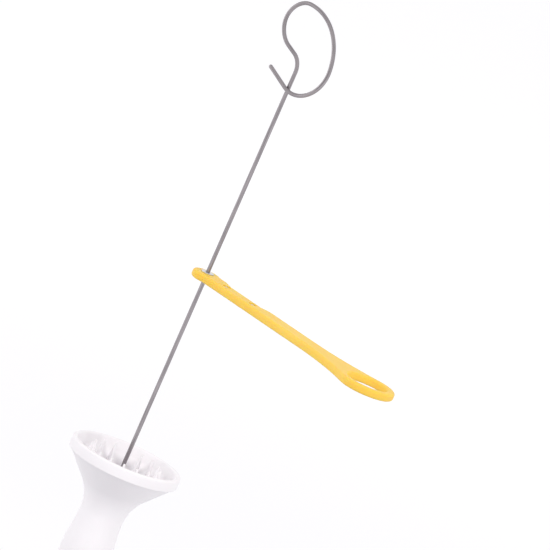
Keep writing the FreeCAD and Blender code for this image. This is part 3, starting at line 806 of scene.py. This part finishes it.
def seen_ray(nodes, links):
    """One for a ray that the camera, steel or glass sends out, nought for scattered light."""
    rays = nodes.new("ShaderNodeLightPath")
    seen = rays.outputs["Is Camera Ray"]
    for kind in ("Is Glossy Ray", "Is Transmission Ray"):
        either = nodes.new("ShaderNodeMath")
        either.operation = "MAXIMUM"
        links.new(seen, either.inputs[0])
        links.new(rays.outputs[kind], either.inputs[1])
        seen = either.outputs[0]
    return seen


table_white, nodes, links, shader = new_material("white table top")
shader.inputs["Base Color"].default_value = (0.68, 0.68, 0.7, 1)
shader.inputs["Roughness"].default_value = 0.9
shader.inputs["Specular IOR Level"].default_value = 0.1
place = nodes.new("ShaderNodeTexCoord")
away = nodes.new("ShaderNodeVectorMath")
away.operation = "LENGTH"
links.new(place.outputs["Object"], away.inputs[0])
grade = nodes.new("ShaderNodeMapRange")
grade.interpolation_type = "SMOOTHSTEP"
grade.inputs["From Min"].default_value = 0.15
grade.inputs["From Max"].default_value = 1.3
grade.inputs["To Min"].default_value = 0.305
grade.inputs["To Max"].default_value = 0.455
links.new(away.outputs["Value"], grade.inputs["Value"])
lift = nodes.new("ShaderNodeMath")
lift.operation = "MULTIPLY"
links.new(seen_ray(nodes, links), lift.inputs[0])
links.new(grade.outputs[0], lift.inputs[1])
shader.inputs["Emission Color"].default_value = (1, 1, 1, 1)
links.new(lift.outputs[0], shader.inputs["Emission Strength"])
dress(floor, table_white)

world = bpy.data.worlds.new("daylight")
bpy.context.scene.world = world
world.use_nodes = True
nodes, links = world.node_tree.nodes, world.node_tree.links
sky = nodes["Background"]
sky.inputs["Color"].default_value = (0.985, 0.975, 0.99, 1)
level = nodes.new("ShaderNodeMapRange")
level.inputs["To Min"].default_value = 0.76
level.inputs["To Max"].default_value = 1.0
links.new(seen_ray(nodes, links), level.inputs["Value"])
links.new(level.outputs[0], sky.inputs["Strength"])


lamp_aim = Vector((0.02, 0, 0.2))


def add_lamp(name, place, width, power):
    """Soft square lamp, a little warm, aimed at the middle of the object."""
    light = bpy.data.lights.new(name, "AREA")
    light.shape = "SQUARE"
    light.size = width
    light.energy = power
    light.color = (1.0, 0.985, 0.97)
    lamp = bpy.data.objects.new(name, light)
    lamp.location = place
    lamp.rotation_mode = "QUATERNION"
    lamp.rotation_quaternion = (lamp_aim - Vector(place)).to_track_quat("-Z", "Y")
    bpy.context.scene.collection.objects.link(lamp)
    return lamp


left_softbox = add_lamp("left softbox", (-0.2, -1.6, 1.06), width=0.7, power=9.4)
right_softbox = add_lamp("right softbox", (1.61, 0.08, 1.06), width=0.7, power=11.6)
for softbox in (left_softbox, right_softbox):
    softbox.visible_glossy = False
add_lamp("window", (-1.5, -0.9, 0.42), width=0.6, power=2.4)

# Camera: far off with a long lens, looking down a little, and rolled so that the skewer leans
# to the right.
view_azimuth = math.radians(42.892)
view_elevation = math.radians(11.01)
view_roll = math.radians(23.78)
view_distance = 3.0
view_height = 0.2
shift_right = 0.031088
shift_down = 0.00334
look = Vector((
    -math.sin(view_azimuth) * math.cos(view_elevation),
    math.cos(view_azimuth) * math.cos(view_elevation),
    -math.sin(view_elevation),
))
level_right = Vector((math.cos(view_azimuth), math.sin(view_azimuth), 0))
level_up = level_right.cross(look)
right = level_right * math.cos(view_roll) + level_up * math.sin(view_roll)
top = level_up * math.cos(view_roll) - level_right * math.sin(view_roll)
target = up * view_height + right * shift_right - top * shift_down
lens = bpy.data.cameras.new("camera")
lens.sensor_width = 36.0
lens.lens = 412.6
lens.clip_start = 0.1
lens.clip_end = 60.0
camera = bpy.data.objects.new("camera", lens)
camera.matrix_world = Matrix((
    (right.x, top.x, -look.x, 0),
    (right.y, top.y, -look.y, 0),
    (right.z, top.z, -look.z, 0),
    (0, 0, 0, 1),
))
camera.location = target - look * view_distance
bpy.context.scene.collection.objects.link(camera)
bpy.context.scene.camera = camera
bpy.context.scene.view_settings.view_transform = "Standard"
